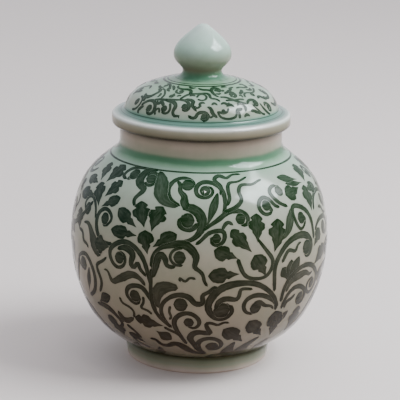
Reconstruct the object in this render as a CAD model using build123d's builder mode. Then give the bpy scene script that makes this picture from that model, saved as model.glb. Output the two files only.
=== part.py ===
"""Lidded ginger jar: a round-bellied stoneware jar on a turned foot, with a domed lid.

The jar is thrown on the wheel, and its foot ring is luted on underneath. The lid is a
domed cap with a rounded rim, a collar below that drops inside the neck, and a knob
shaped like a lotus bud. Every piece is turned about the Z axis. Z = 0 is the face that
the foot stands on, and all sizes are in millimetres.
"""
from build123d import *
import os

os.makedirs("parts", exist_ok=True)

# ---- driving dimensions ----------------------------------------------------------
belly_radius = 67.5          # widest place of the jar
belly_height = 64.5
foot_radius = 37.4           # outside of the foot where it stands
foot_top_radius = 38.6       # outside of the foot where it meets the belly
foot_inner_radius = 31.0
foot_height = 9.0
floor_height = 15.5          # inside floor of the jar
shoulder_radius = 46.6       # where the shoulder ends and the neck begins
shoulder_height = 109.6
neck_radius = 42.3
mouth_radius = 37.4          # inside of the neck
rim_height = 124.6           # top of the neck, and the face that the lid rests on

lid_rim_radius = 46.5
lid_rim_thickness = 6.7
lid_rim_round = 1.6
lid_dome_radius = 39.9       # foot of the dome, inside the gutter behind the rim
gutter_height = 7.2          # gutter above the resting face
dome_top_height = 24.3       # pad for the knob, above the resting face
dome_wall = 5.0

collar_outer_radius = 35.8   # 1.6 mm clear of the mouth all round
collar_inner_radius = 31.8
collar_depth = 7.0

knob_base_radius = 14.2
knob_waist_radius = 10.2
knob_radius = 15.0
knob_height = 27.7

edge_round = 0.9             # fingertip rounding of the rims

# ---- heights worked out from them ------------------------------------------------
pad_height = rim_height + dome_top_height
waist_height = pad_height + 3.6
bud_height = pad_height + 12.0      # widest place of the bud
tip_height = pad_height + knob_height

# ---- foot ring -------------------------------------------------------------------
# A turned ring that the jar stands on. It leans out a little towards the belly.
with BuildPart() as foot_ring:
    with BuildSketch(Plane.XZ):
        with BuildLine():
            Polyline(
                (foot_inner_radius + 0.8, 0),
                (foot_radius, 0),
                (foot_top_radius, foot_height),
                (foot_inner_radius, foot_height),
                close=True,
            )
        make_face()
    revolve(axis=Axis.Z)
    fillet(foot_ring.edges().group_by(Axis.Z)[0], radius=edge_round)
foot_ring.part.label = "foot_ring"

# ---- jar body --------------------------------------------------------------------
# One thrown wall: flat base, round belly, shoulder, and an upright neck. The inside
# follows the outside at about 5 mm, and its floor turns up in a wide curve.
with BuildPart() as jar_body:
    with BuildSketch(Plane.XZ):
        with BuildLine():
            base = Line((0, foot_height), (foot_top_radius, foot_height))
            belly = Spline(
                base @ 1,
                (belly_radius - 13.4, 21.5),
                (belly_radius - 6.0, 34.2),
                (belly_radius, belly_height),
                (belly_radius - 2.4, 84.5),
                (belly_radius - 7.9, 97.1),
                (shoulder_radius, shoulder_height),
            )
            neck_sweep = Spline(
                belly @ 1,
                (neck_radius, rim_height - 8.0),
                tangents=((-0.9, 0.42), (0, 1)),
            )
            neck = Line(neck_sweep @ 1, (neck_radius, rim_height))
            rim = Line(neck @ 1, (mouth_radius, rim_height))
            mouth = Line(rim @ 1, (mouth_radius, rim_height - 12.0))
            inside = Spline(
                mouth @ 1,
                (belly_radius - 24.5, 105.4),
                (belly_radius - 13.2, 94.6),
                (belly_radius - 7.5, 83.0),
                (belly_radius - 5.0, belly_height),
                (belly_radius - 10.8, 36.5),
                (belly_radius - 18.5, 25.0),
                (foot_inner_radius, floor_height),
                tangents=((0, -1), (-1, 0)),
            )
            floor = Line(inside @ 1, (0, floor_height))
            Line(floor @ 1, base @ 0)
        make_face()
    revolve(axis=Axis.Z)
    fillet(jar_body.edges().group_by(Axis.Z)[-1], radius=edge_round)
jar_body.part.label = "jar_body"

# ---- lid dome --------------------------------------------------------------------
# A rounded rim that rests on the neck, a shallow gutter behind it, then the dome with
# a flat pad on top for the knob. The underside is hollow.
with BuildPart() as lid_dome:
    with BuildSketch(Plane.XZ):
        with BuildLine():
            rest = Line((collar_inner_radius, rim_height), (lid_rim_radius, rim_height))
            rim_side = Line(rest @ 1, (lid_rim_radius, rim_height + lid_rim_thickness - 2.0))
            rim_top = Spline(
                rim_side @ 1,
                (lid_rim_radius - 2.2, rim_height + lid_rim_thickness),
                tangents=((0, 1), (-1, 0.05)),
            )
            gutter = Spline(
                rim_top @ 1,
                (lid_dome_radius + 1.9, rim_height + gutter_height),
                (lid_dome_radius, rim_height + gutter_height + 1.4),
            )
            dome = Spline(
                gutter @ 1,
                (lid_dome_radius - 2.3, pad_height - 10.7),
                (lid_dome_radius - 4.4, pad_height - 8.3),
                (lid_dome_radius - 7.8, pad_height - 5.8),
                (lid_dome_radius - 12.4, pad_height - 3.8),
                (knob_base_radius + 5.6, pad_height - 1.3),
                (knob_base_radius, pad_height),
            )
            pad = Line(dome @ 1, (0, pad_height))
            crown = Line(pad @ 1, (0, pad_height - dome_wall))
            Spline(
                crown @ 1,
                (20.0, pad_height - dome_wall - 1.9),
                (29.3, pad_height - dome_wall - 6.0),
                (33.6, rim_height + 6.0),
                rest @ 0,
                tangents=((1, 0), (-0.35, -1)),
            )
        make_face()
    revolve(axis=Axis.Z)
    rest_edges = lid_dome.edges().group_by(Axis.Z)[0]
    fillet(rest_edges.sort_by(SortBy.RADIUS)[-1], radius=lid_rim_round)
lid_dome.part.label = "lid_dome"

# ---- lid locating ring -----------------------------------------------------------
# A plain collar luted under the lid. It hangs inside the neck and keeps the lid from
# sliding off. It tapers a little so that it drops in easily.
with BuildPart() as lid_locating_ring:
    with BuildSketch(Plane.XZ):
        with BuildLine():
            Polyline(
                (collar_inner_radius, rim_height),
                (collar_outer_radius, rim_height),
                (collar_outer_radius - 0.5, rim_height - collar_depth),
                (collar_inner_radius + 0.3, rim_height - collar_depth),
                close=True,
            )
        make_face()
    revolve(axis=Axis.Z)
    fillet(lid_locating_ring.edges().group_by(Axis.Z)[0], radius=edge_round)
lid_locating_ring.part.label = "lid_locating_ring"

# ---- lid knob --------------------------------------------------------------------
# A solid lotus bud: a flared base, a narrow waist, a full belly and a rounded tip.
with BuildPart() as lid_knob:
    with BuildSketch(Plane.XZ):
        with BuildLine():
            underside = Line((0, pad_height), (knob_base_radius, pad_height))
            flare = Bezier(
                underside @ 1,
                (knob_waist_radius + 1.0, pad_height + 0.9),
                (knob_waist_radius, pad_height + 2.2),
                (knob_waist_radius, waist_height),
            )
            bud_underside = Bezier(
                flare @ 1,
                (knob_waist_radius, waist_height + 2.6),
                (knob_radius, bud_height - 4.6),
                (knob_radius, bud_height),
            )
            bud_side = Bezier(
                bud_underside @ 1,
                (knob_radius, bud_height + 5.7),
                (8.6, tip_height - 5.6),
                (3.7, tip_height - 1.5),
            )
            tip = Bezier(
                bud_side @ 1,
                (2.5, tip_height - 0.5),
                (1.3, tip_height),
                (0, tip_height),
            )
            Line(tip @ 1, underside @ 0)
        make_face()
    revolve(axis=Axis.Z)
lid_knob.part.label = "lid_knob"

# ---- one STEP file for each piece ------------------------------------------------
for piece in (foot_ring, jar_body, lid_dome, lid_locating_ring, lid_knob):
    export_step(piece.part, f"parts/{piece.part.label}.step")
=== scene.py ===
import math
import random

import bmesh
import bpy
import numpy as np
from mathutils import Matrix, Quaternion, Vector


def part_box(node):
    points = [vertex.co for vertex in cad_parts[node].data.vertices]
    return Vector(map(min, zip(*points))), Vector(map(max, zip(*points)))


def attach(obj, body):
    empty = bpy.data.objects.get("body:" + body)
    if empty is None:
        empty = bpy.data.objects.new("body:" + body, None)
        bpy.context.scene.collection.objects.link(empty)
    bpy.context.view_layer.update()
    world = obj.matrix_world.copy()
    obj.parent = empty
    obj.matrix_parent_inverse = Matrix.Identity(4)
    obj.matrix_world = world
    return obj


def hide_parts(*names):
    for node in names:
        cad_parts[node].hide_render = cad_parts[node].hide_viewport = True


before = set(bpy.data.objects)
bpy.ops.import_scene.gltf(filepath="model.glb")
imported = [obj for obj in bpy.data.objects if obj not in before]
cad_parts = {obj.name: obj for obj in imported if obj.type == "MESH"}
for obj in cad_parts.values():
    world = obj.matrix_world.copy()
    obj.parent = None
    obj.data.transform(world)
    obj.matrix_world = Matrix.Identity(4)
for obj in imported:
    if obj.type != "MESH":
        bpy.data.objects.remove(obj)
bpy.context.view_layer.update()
MM = 0.001

# ---- jar body ------------------------------------------------------------------------
# A thrown stoneware jar: a round belly, a low shoulder and an upright neck, glazed inside
# and out in grey-green celadon. The rim under the lid is left bare, so that the lid doesn't
# fuse to it in the kiln. The finger rings of the throwing show inside.
body_low, body_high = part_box("jar_body")
body_foot = body_low.z / MM
rim_top = body_high.z / MM
belly_radius = body_high.x / MM
foot_top_radius = 38.6
shoulder_radius = 46.6
shoulder_height = 109.6
neck_radius = 42.3
mouth_radius = 37.4
edge_round = 0.9  # fingertip rounding of the rims


def smooth_line(points, count, first=None, last=None):
    """A curve of count + 1 points through the given points, smooth in slope and in bend."""
    knots = np.array(points, float)
    at = np.concatenate(([0.0], np.cumsum(np.linalg.norm(np.diff(knots, axis=0), axis=1))))
    gap = np.diff(at)
    rise = np.diff(knots, axis=0) / gap[:, None]
    size = len(knots)
    system = np.zeros((size, size))
    wanted = np.zeros((size, 2))
    for i in range(1, size - 1):
        system[i, i - 1] = 1 / gap[i - 1]
        system[i, i] = 2 / gap[i - 1] + 2 / gap[i]
        system[i, i + 1] = 1 / gap[i]
        wanted[i] = 3 * rise[i - 1] / gap[i - 1] + 3 * rise[i] / gap[i]
    for end, near, slope, own in ((0, 1, first, rise[0]), (-1, -2, last, rise[-1])):
        if slope is None:
            system[end, end] = 2
            system[end, near] = 1
            wanted[end] = 3 * own
        else:
            system[end, end] = 1
            wanted[end] = slope
    slopes = np.linalg.solve(system, wanted)
    where = np.linspace(0, at[-1], count + 1)
    span = np.clip(np.searchsorted(at, where, side="right") - 1, 0, size - 2)
    t = ((where - at[span]) / gap[span])[:, None]
    h = gap[span][:, None]
    return (
        (1 + 2 * t) * (1 - t) ** 2 * knots[span]
        + t * (1 - t) ** 2 * h * slopes[span]
        + t * t * (3 - 2 * t) * knots[span + 1]
        + t * t * (t - 1) * h * slopes[span + 1]
    )


def quarter_round(centre, radius, start, steps=5):
    """The points of a rounded edge, a quarter turn anticlockwise from the start angle."""
    turns = np.radians(start + 90 * np.arange(steps + 1) / steps)
    return np.array(centre) + radius * np.stack([np.cos(turns), np.sin(turns)], -1)


def turned(name, outline, segments=256):
    """A piece turned on the wheel from its outline, a list of (radius, height) in mm."""
    mesh = bmesh.new()
    points = [mesh.verts.new((max(r, 0.0) * MM, 0, z * MM)) for r, z in outline]
    pairs = list(zip(points, points[1:]))
    if outline[0][0] > 1e-6 or outline[-1][0] > 1e-6:
        pairs.append((points[-1], points[0]))
    lines = [mesh.edges.new(pair) for pair in pairs]
    bmesh.ops.spin(
        mesh, geom=points + lines, cent=(0, 0, 0), axis=(0, 0, 1), angle=math.tau,
        steps=segments, use_merge=True, use_duplicate=False,
    )
    bmesh.ops.remove_doubles(mesh, verts=mesh.verts, dist=1e-6)
    bmesh.ops.recalc_face_normals(mesh, faces=mesh.faces)
    for face in mesh.faces:
        face.smooth = True
    data = bpy.data.meshes.new(name)
    mesh.to_mesh(data)
    mesh.free()
    piece = bpy.data.objects.new(name, data)
    bpy.context.scene.collection.objects.link(piece)
    return piece


def node_group(name, outputs=("Color", "Roughness", "Normal")):
    """An empty group of shader nodes that hands out the named parts of a finish."""
    kinds = {"Color": "NodeSocketColor", "Roughness": "NodeSocketFloat", "Normal": "NodeSocketVector"}
    group = bpy.data.node_groups.new(name, "ShaderNodeTree")
    for label in outputs:
        group.interface.new_socket(name=label, in_out="OUTPUT", socket_type=kinds[label])
    return group


def add(tree, kind, **settings):
    """A new node with the given settings."""
    node = tree.nodes.new(kind)
    for key, value in settings.items():
        setattr(node, key, value)
    return node


def hand_out(group, **results):
    """Links each result to the group's output of that name."""
    leaving = add(group, "NodeGroupOutput")
    for label, socket in results.items():
        group.links.new(socket, leaving.inputs[label])


def feed(tree, socket, value):
    """Sets a node's input to a constant, or links it to another node's output."""
    if isinstance(value, bpy.types.NodeSocket):
        tree.links.new(value, socket)
    else:
        socket.default_value = value


def tint(hex_colour):
    """A paint chart colour such as 8c9a8f as linear red, green, blue and alpha."""
    parts = [int(hex_colour[i:i + 2], 16) / 255 for i in (0, 2, 4)]
    linear = [p / 12.92 if p <= 0.04045 else ((p + 0.055) / 1.055) ** 2.4 for p in parts]
    return (*linear, 1.0)


def ramp(tree, stops):
    """A colour ramp node with the given (position, colour) stops."""
    node = add(tree, "ShaderNodeValToRGB")
    elements = node.color_ramp.elements
    elements[0].position, elements[0].color = stops[0][0], tint(stops[0][1])
    elements[1].position, elements[1].color = stops[-1][0], tint(stops[-1][1])
    for position, colour in stops[1:-1]:
        elements.new(position).color = tint(colour)
    return node


def mixed(tree, factor, one, other, blend="MIX"):
    """A mix of two colours. Each of factor, one and other is a socket or a constant."""
    node = add(tree, "ShaderNodeMix", data_type="RGBA", blend_type=blend)
    feed(tree, node.inputs[0], factor)
    feed(tree, node.inputs[6], one)
    feed(tree, node.inputs[7], other)
    return node.outputs[2]


def worked_out(tree, operation, one, other=0.0, third=0.0, clamp=False):
    """A maths node. Each of its values is a socket or a constant."""
    node = add(tree, "ShaderNodeMath", operation=operation, use_clamp=clamp)
    for socket, value in zip(node.inputs, (one, other, third)):
        feed(tree, socket, value)
    return node.outputs[0]


def cloud(tree, vector, scale, detail=2.0, roughness=0.5):
    """A noise texture's value, about 0.5, read at the given vector."""
    node = add(tree, "ShaderNodeTexNoise")
    for label, value in (("Scale", scale), ("Detail", detail), ("Roughness", roughness), ("Vector", vector)):
        feed(tree, node.inputs[label], value)
    return node.outputs["Fac"]


def between(tree, value, low, high, start=0.0, end=1.0):
    """The value smoothly mapped from low..high to start..end."""
    node = add(tree, "ShaderNodeMapRange", interpolation_type="SMOOTHSTEP")
    for socket, number in zip(node.inputs, (value, low, high, start, end)):
        feed(tree, socket, number)
    return node.outputs[0]


def bump(tree, height, strength, distance):
    """The surface pressed in and out by the height, over the distance in metres."""
    node = add(tree, "ShaderNodeBump")
    for label, value in (("Strength", strength), ("Distance", distance), ("Height", height)):
        feed(tree, node.inputs[label], value)
    return node.outputs[0]


# The celadon's colour follows the height, because the glaze runs down in the kiln: thin
# and pinkish grey where it breaks over edges, and deep green where it pools. The same
# heights also hold painted light: painted shade on the lower belly, a painted shadow
# under the lid's rim, a painted highlight along the rim's top and painted shade under
# the knob's bud. The line between two colours wavers, but it is calm from the neck to
# the gutter of the lid.
tallest = 180
glaze_and_painted_light_heights = [
    # mm above the table, colour
    # Painted shade darkens the crease above the foot at 8.4 mm and, warmed like a reflection of the table,
    # the lower belly up to about 72 mm.
    (0.0, "cdb9ae"), (4.0, "858572"), (8.4, "45452f"), (12.0, "5d5143"), (52.0, "827867"),
    (72.0, "8f8b7a"), (90.0, "a0a597"), (104.0, "abb9ab"), (109.6, "9cb9a6"), (111.2, "7ba387"),
    (112.6, "4e7a5c"), (114.4, "4c7459"), (115.8, "8a8a78"), (120.6, "9c8f80"), (122.9, "83786a"),
    # A painted shadow where the lid's rim overhangs the neck, from 123.9 to 125.2 mm, painted shade on the
    # face of the rim up to 129.2 mm, and a painted highlight along the top of the rim at 130.9 mm.
    (123.9, "342d25"), (125.2, "332d22"), (126.6, "6c6652"), (129.2, "8f8c7a"), (130.9, "eef2f1"),
    (131.5, "557a70"), (133.4, "65907f"), (134.4, "96a897"), (138.0, "a3a899"), (142.0, "a0b3a3"),
    # Painted shade under the bud of the knob, from 154 to 160 mm.
    (148.4, "80a688"), (149.8, "558069"), (151.5, "4f7a5c"), (154.0, "716f5b"), (160.0, "808e7b"),
    (166.0, "a7c5b7"), (175.0, "c8dcd6"),
]
iron_fleck = tint("6d5c48")
celadon = node_group("celadon_glaze")
place = add(celadon, "ShaderNodeTexCoord").outputs["Object"]
split = add(celadon, "ShaderNodeSeparateXYZ")
celadon.links.new(place, split.inputs[0])
up = split.outputs["Z"]
steady = between(celadon, up, 0.118, 0.1215, 1.0, 0.12)
steady = worked_out(celadon, "ADD", steady, between(celadon, up, 0.1325, 0.137, 0.0, 0.88))
drift = worked_out(celadon, "MULTIPLY_ADD", cloud(celadon, place, 38, 3), 0.0026, -0.0013)
drift = worked_out(celadon, "MULTIPLY", drift, steady)
height = worked_out(celadon, "ADD", up, drift)
pooled_and_painted_light = ramp(celadon, [(z / tallest, colour) for z, colour in glaze_and_painted_light_heights])
celadon.links.new(worked_out(celadon, "DIVIDE", height, tallest * MM), pooled_and_painted_light.inputs[0])
depth = between(celadon, cloud(celadon, place, 60, 4, 0.6), 0.35, 0.65)
thick_tint = mixed(celadon, 1.0, pooled_and_painted_light.outputs[0], tint("e3efe4"), "MULTIPLY")
ground = mixed(celadon, worked_out(celadon, "MULTIPLY", depth, 0.55), pooled_and_painted_light.outputs[0], thick_tint)
fleck = between(celadon, cloud(celadon, place, 900, 2, 0.7), 0.66, 0.76)
ground = mixed(celadon, worked_out(celadon, "MULTIPLY", fleck, 0.22), ground, iron_fleck)
swell = worked_out(celadon, "MULTIPLY", cloud(celadon, place, 55, 1), 3.0)
orange_peel = worked_out(celadon, "MULTIPLY_ADD", cloud(celadon, place, 420, 2), 0.25, swell)
gloss = worked_out(celadon, "MULTIPLY_ADD", cloud(celadon, place, 150, 3), 0.07, 0.05)
hand_out(celadon, Color=ground, Roughness=gloss, Normal=bump(celadon, orange_peel, 0.35, 0.00012))

# Inside, where nobody looks, the same glaze was poured in and out in one even coat.
lining = node_group("poured_lining")
place = add(lining, "ShaderNodeTexCoord").outputs["Object"]
same_glaze = add(lining, "ShaderNodeGroup", node_tree=celadon)
poured = ramp(lining, [(0.3, "8d9484"), (0.5, "9ba395"), (0.7, "a9b3a6")])
lining.links.new(cloud(lining, place, 45, 4, 0.6), poured.inputs[0])
pinhole = between(lining, cloud(lining, place, 800, 2, 0.7), 0.67, 0.76)
coat = mixed(lining, worked_out(lining, "MULTIPLY", pinhole, 0.35), poured.outputs[0], iron_fleck)
hand_out(lining, Color=coat, Roughness=same_glaze.outputs["Roughness"], Normal=same_glaze.outputs["Normal"])

# The bare clay fires to a sandy pink, with dark grains of grog in it.
stoneware = node_group("bare_stoneware")
place = add(stoneware, "ShaderNodeTexCoord").outputs["Object"]
clay = ramp(stoneware, [(0.3, "a78c78"), (0.55, "bda591"), (0.75, "cdb8a5")])
stoneware.links.new(cloud(stoneware, place, 140, 5, 0.6), clay.inputs[0])
grog = between(stoneware, cloud(stoneware, place, 1500, 2, 0.7), 0.63, 0.7)
clay = mixed(stoneware, worked_out(stoneware, "MULTIPLY", grog, 0.5), clay.outputs[0], tint("7c6552"))
dry = worked_out(stoneware, "MULTIPLY_ADD", grog, 0.1, 0.72)
grit = bump(stoneware, cloud(stoneware, place, 1800, 4, 0.65), 0.5, 0.0001)
hand_out(stoneware, Color=clay, Roughness=dry, Normal=grit)


def finish_of(name, group):
    """A material whose colour, roughness and surface all come from the shared group."""
    material = bpy.data.materials.new(name)
    material.use_nodes = True
    tree = material.node_tree
    shader = tree.nodes["Principled BSDF"]
    shader.inputs["IOR"].default_value = 1.5
    shader.inputs["Specular IOR Level"].default_value = 0.19
    source = add(tree, "ShaderNodeGroup", node_tree=group)
    for label, socket in (("Color", "Base Color"), ("Roughness", "Roughness"), ("Normal", "Normal")):
        tree.links.new(source.outputs[label], shader.inputs[socket])
    return material


glaze = finish_of("celadon_glaze", celadon)
inner_glaze = finish_of("poured_lining", lining)
bare_clay = finish_of("bare_stoneware", stoneware)


def dipped(piece, is_bare, is_inside=None):
    """Glazes the piece, save the faces that is_bare picks and the lining that is_inside picks.

    is_bare is given a face's radius and height in mm, and is_inside also how far it faces
    out from the axis and up.
    """
    for finish in (glaze, bare_clay, inner_glaze):
        piece.data.materials.append(finish)
    for face in piece.data.polygons:
        x, y, z = face.center / MM
        radius = math.hypot(x, y)
        outward = (face.normal.x * x + face.normal.y * y) / max(radius, 0.01)
        if is_bare(radius, z):
            face.material_index = 1
        elif is_inside and is_inside(radius, z, outward, face.normal.z):
            face.material_index = 2


belly = smooth_line([
    (foot_top_radius, body_foot), (belly_radius - 13.4, 21.5), (belly_radius - 6.0, 34.2),
    (belly_radius, 64.5), (belly_radius - 2.4, 84.5), (belly_radius - 7.9, 97.1),
    (shoulder_radius, shoulder_height),
], 116)
neck_sweep = smooth_line([
    (shoulder_radius, shoulder_height), (neck_radius, rim_top - 8.0),
], 12, (-0.9, 0.42), (0, 1))
lip_outside = quarter_round((neck_radius - edge_round, rim_top - edge_round), edge_round, 0)
lip_inside = quarter_round((mouth_radius + edge_round, rim_top - edge_round), edge_round, 90)
inside = smooth_line([
    (mouth_radius, rim_top - 12.0), (belly_radius - 24.5, 105.4), (belly_radius - 13.2, 94.6),
    (belly_radius - 7.5, 83.0), (belly_radius - 5.0, 64.5), (belly_radius - 10.8, 36.5),
    (belly_radius - 18.5, 25.0), (31.0, 15.5),
], 100, (0, -1), (-1, 0))
# The finger rings fade out towards the neck and the floor.
ring_depth = np.clip((112 - inside[:, 1]) / 12, 0, 1) * np.clip((inside[:, 0] - 31) / 12, 0, 1)
inside[:, 0] += 0.22 * np.sin(inside[:, 1] * 1.15 + 0.8 * np.sin(inside[:, 1] * 0.21)) * ring_depth
jar_body = turned("jar_body", [
    (0, body_foot), (20, body_foot), *belly, *neck_sweep[1:], *lip_outside, (mouth_radius + 2.4, rim_top),
    *lip_inside, (mouth_radius, rim_top - 6.0), *inside, (22, 15.45), (11, 15.3), (0, 15.3),
])
dipped(
    jar_body, lambda r, z: z > rim_top - 0.5 and r < neck_radius - 0.3,
    lambda r, z, outward, upward: z > 15 and (outward < -0.02 or r < 33 and upward > 0.5),
)
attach(jar_body, "jar")
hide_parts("jar_body")

# ---- foot ring -----------------------------------------------------------------------
# The turned foot that the jar stands on, luted on under the belly. Its outside is glazed,
# and it is wiped bare where it stands, so that it doesn't stick to the kiln shelf.
foot_inner = 31.0
foot_stand = 37.4
foot_ring = turned("foot_ring", [
    *quarter_round((foot_inner + 1.7, edge_round), edge_round, 180), (foot_inner + 3.5, 0.0),
    *quarter_round((foot_stand - 0.8, edge_round), edge_round, -90),
    (foot_stand + 0.45, 3.0), (foot_stand + 0.8, 6.0),
    (foot_top_radius, body_foot), (foot_inner + 3.0, body_foot), (foot_inner, body_foot),
    (foot_inner + 0.4, 4.5),
], 192)
dipped(foot_ring, lambda r, z: z < 0.75 or r < foot_inner + 1.0)
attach(foot_ring, "jar")
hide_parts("foot_ring")

# ---- lid dome ------------------------------------------------------------------------
# A domed cap with a rounded rim that rests on the neck. A shallow gutter behind the rim
# holds a pool of glaze. The band that rests on the neck is bare, and the hollow is glazed.
lid_rim_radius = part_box("lid_dome")[1].x / MM
pad_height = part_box("lid_dome")[1].z / MM
lid_rim_round = 1.6
lid_rim_top = rim_top + 6.7
lid_dome_radius = 39.9  # foot of the dome, inside the gutter
gutter_end = rim_top + 8.6
knob_base_radius = 14.2
collar_inner = 31.8
lid_rest = quarter_round((lid_rim_radius - lid_rim_round, rim_top + lid_rim_round), lid_rim_round, -90)
lid_edge = smooth_line([
    (lid_rim_radius, lid_rim_top - 2.0), (lid_rim_radius - 2.2, lid_rim_top),
], 10, (0, 1), (-1, 0.05))
gutter = smooth_line([
    (lid_rim_radius - 2.2, lid_rim_top), (lid_dome_radius + 1.9, rim_top + 7.2),
    (lid_dome_radius, gutter_end),
], 10, (-1, 0.05), (-0.3, 1))
dome = smooth_line([
    (lid_dome_radius, gutter_end), (lid_dome_radius - 2.3, pad_height - 10.7),
    (lid_dome_radius - 4.4, pad_height - 8.3), (lid_dome_radius - 7.8, pad_height - 5.8),
    (lid_dome_radius - 12.4, pad_height - 3.8), (knob_base_radius + 5.6, pad_height - 1.3),
    (knob_base_radius, pad_height),
], 56, (-0.3, 1))
hollow = smooth_line([
    (0, pad_height - 5.0), (20.0, pad_height - 6.9), (29.3, pad_height - 11.0), (33.6, rim_top + 6.0),
    (collar_inner, rim_top),
], 40, (1, 0), (-0.35, -1))
lid_dome = turned("lid_dome", [
    *hollow, (36.0, rim_top), (42.9, rim_top), *lid_rest, (lid_rim_radius, rim_top + 3.2), *lid_edge,
    *gutter[1:], *dome[1:], (7.0, pad_height), (0, pad_height),
])
dipped(
    lid_dome, lambda r, z: z < rim_top + 0.2 and r < 43,
    lambda r, z, outward, upward: r < 34.5 and upward < -0.01,
)
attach(lid_dome, "lid")
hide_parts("lid_dome")

# ---- lid locating ring ---------------------------------------------------------------
# A plain collar of the same clay, luted under the lid and left bare. It hangs inside the
# neck and keeps the lid from sliding off.
collar_outer = 35.8
collar_low = rim_top - 7.0
lid_locating_ring = turned("lid_locating_ring", [
    *quarter_round((collar_inner + 1.2, collar_low + edge_round), edge_round, 180),
    *quarter_round((collar_outer - 1.4, collar_low + edge_round), edge_round, -90),
    (collar_outer - 0.25, rim_top - 3.5), (collar_outer, rim_top), (collar_inner, rim_top),
    (collar_inner + 0.15, rim_top - 3.5),
], 192)
lid_locating_ring.data.materials.append(bare_clay)
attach(lid_locating_ring, "lid")
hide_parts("lid_locating_ring")

# ---- lid knob ------------------------------------------------------------------------
# A solid knob turned like a lotus bud, stuck on the middle of the lid with slip. The glaze
# runs off the bud and pools round its flared base.
knob_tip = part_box("lid_knob")[1].z / MM
knob_waist_radius = 10.2
knob_radius = 15.0
waist = pad_height + 3.6
bud = pad_height + 12.0  # widest place of the bud


def bent(points, count=14):
    """A Bezier curve of count + 1 points pulled by four points."""
    a, b, c, d = (np.array(p, float) for p in points)
    t = np.linspace(0, 1, count + 1)[:, None]
    return (1 - t) ** 3 * a + 3 * t * (1 - t) ** 2 * b + 3 * t * t * (1 - t) * c + t ** 3 * d


flare = bent([
    (knob_base_radius, pad_height), (knob_waist_radius + 1.0, pad_height + 0.9),
    (knob_waist_radius, pad_height + 2.2), (knob_waist_radius, waist),
])
bud_underside = bent([
    (knob_waist_radius, waist), (knob_waist_radius, waist + 2.6),
    (knob_radius, bud - 4.6), (knob_radius, bud),
])
bud_side = bent([
    (knob_radius, bud), (knob_radius, bud + 5.7), (8.6, knob_tip - 5.6), (3.7, knob_tip - 1.5),
], 20)
tip = bent([(3.7, knob_tip - 1.5), (2.5, knob_tip - 0.5), (1.3, knob_tip), (0, knob_tip)], 8)
lid_knob = turned("lid_knob", [
    (0, pad_height), (7.0, pad_height), *flare, *bud_underside[1:], *bud_side[1:], *tip[1:],
], 128)
lid_knob.data.materials.append(glaze)
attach(lid_knob, "lid")
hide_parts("lid_knob")

# ---- brushwork -----------------------------------------------------------------------
# Everything painted is brushed on the raw body in dark green underglaze with a pointed
# brush, and the glaze covers it. It is brown low on the belly and greener higher up. A
# stroke is darkest where the brush stops and along its edges, and streaky in the middle.
underglaze = node_group("underglaze_paint", ["Color"])
place = add(underglaze, "ShaderNodeTexCoord")
under = add(underglaze, "ShaderNodeGroup", node_tree=celadon).outputs["Color"]
split = add(underglaze, "ShaderNodeSeparateXYZ")
underglaze.links.new(place.outputs["Object"], split.inputs[0])
across = add(underglaze, "ShaderNodeSeparateXYZ")
underglaze.links.new(place.outputs["UV"], across.inputs[0])
load = add(underglaze, "ShaderNodeAttribute", attribute_name="ink").outputs["Fac"]
pigment = ramp(underglaze, [
    (0.05, "1d1206"), (0.2, "1c1506"), (0.34, "181d08"), (0.45, "13260d"), (0.56, "0f3012"),
    (0.66, "0c3a1e"), (0.74, "082812"), (0.83, "082d16"), (1.0, "0a331a"),
])
underglaze.links.new(worked_out(underglaze, "DIVIDE", split.outputs["Z"], tallest * MM), pigment.inputs[0])
# A painted bluish sheen: the paint on the left side of the jar is tinted blue-green, from 50 mm up.
painted_left_sheen = between(underglaze, split.outputs["X"], -0.01, -0.055)
painted_left_sheen = worked_out(underglaze, "MULTIPLY", painted_left_sheen, between(underglaze, split.outputs["Z"], 0.05, 0.1))
colour = mixed(underglaze, worked_out(underglaze, "MULTIPLY", painted_left_sheen, 0.6), pigment.outputs[0], tint("0f2526"))
off_centre = worked_out(underglaze, "MULTIPLY_ADD", across.outputs["X"], 2.0, -1.0)
off_centre = worked_out(underglaze, "ABSOLUTE", off_centre)
edge = between(underglaze, off_centre, 0.45, 0.85)
streaks = add(underglaze, "ShaderNodeCombineXYZ")
feed(underglaze, streaks.inputs[0], worked_out(underglaze, "MULTIPLY", across.outputs["X"], 3.2))
feed(underglaze, streaks.inputs[1], worked_out(underglaze, "MULTIPLY", across.outputs["Y"], 0.9))
streaky = between(underglaze, cloud(underglaze, streaks.outputs[0], 2.0, 4, 0.65), 0.36, 0.68)
patchy = between(underglaze, cloud(underglaze, place.outputs["Object"], 170, 3), 0.4, 0.62)
thin = worked_out(underglaze, "MULTIPLY", streaky, worked_out(underglaze, "SUBTRACT", 1.0, edge))
thin = worked_out(underglaze, "MULTIPLY_ADD", thin, 0.09, worked_out(underglaze, "MULTIPLY", patchy, 0.04))
cover = worked_out(underglaze, "SUBTRACT", load, thin, clamp=True)
soft_edge = between(underglaze, off_centre, 1.0, 0.93)
cover = worked_out(underglaze, "MULTIPLY", cover, soft_edge)
hand_out(underglaze, Color=mixed(underglaze, cover, under, colour))

painted = finish_of("painted_under_glaze", celadon)
painted_shader = painted.node_tree.nodes["Principled BSDF"]
painted_shader.inputs["Specular IOR Level"].default_value = 0.1
brush_colour = add(painted.node_tree, "ShaderNodeGroup", node_tree=underglaze)
painted.node_tree.links.new(brush_colour.outputs["Color"], painted_shader.inputs["Base Color"])


def painting_on(outline):
    """A painting on a turned outline. Its places are (angle in degrees, run in mm along the outline)."""
    along = np.concatenate(([0.0], np.cumsum(np.linalg.norm(np.diff(outline, axis=0), axis=1))))
    slope = np.gradient(outline, along, axis=0)
    mesh = bmesh.new()
    mesh.loops.layers.uv.new("brush")
    return {
        "outline": outline, "along": along, "slope": slope, "mesh": mesh, "normals": [], "ink": [],
        "strokes": 0,
    }


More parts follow.
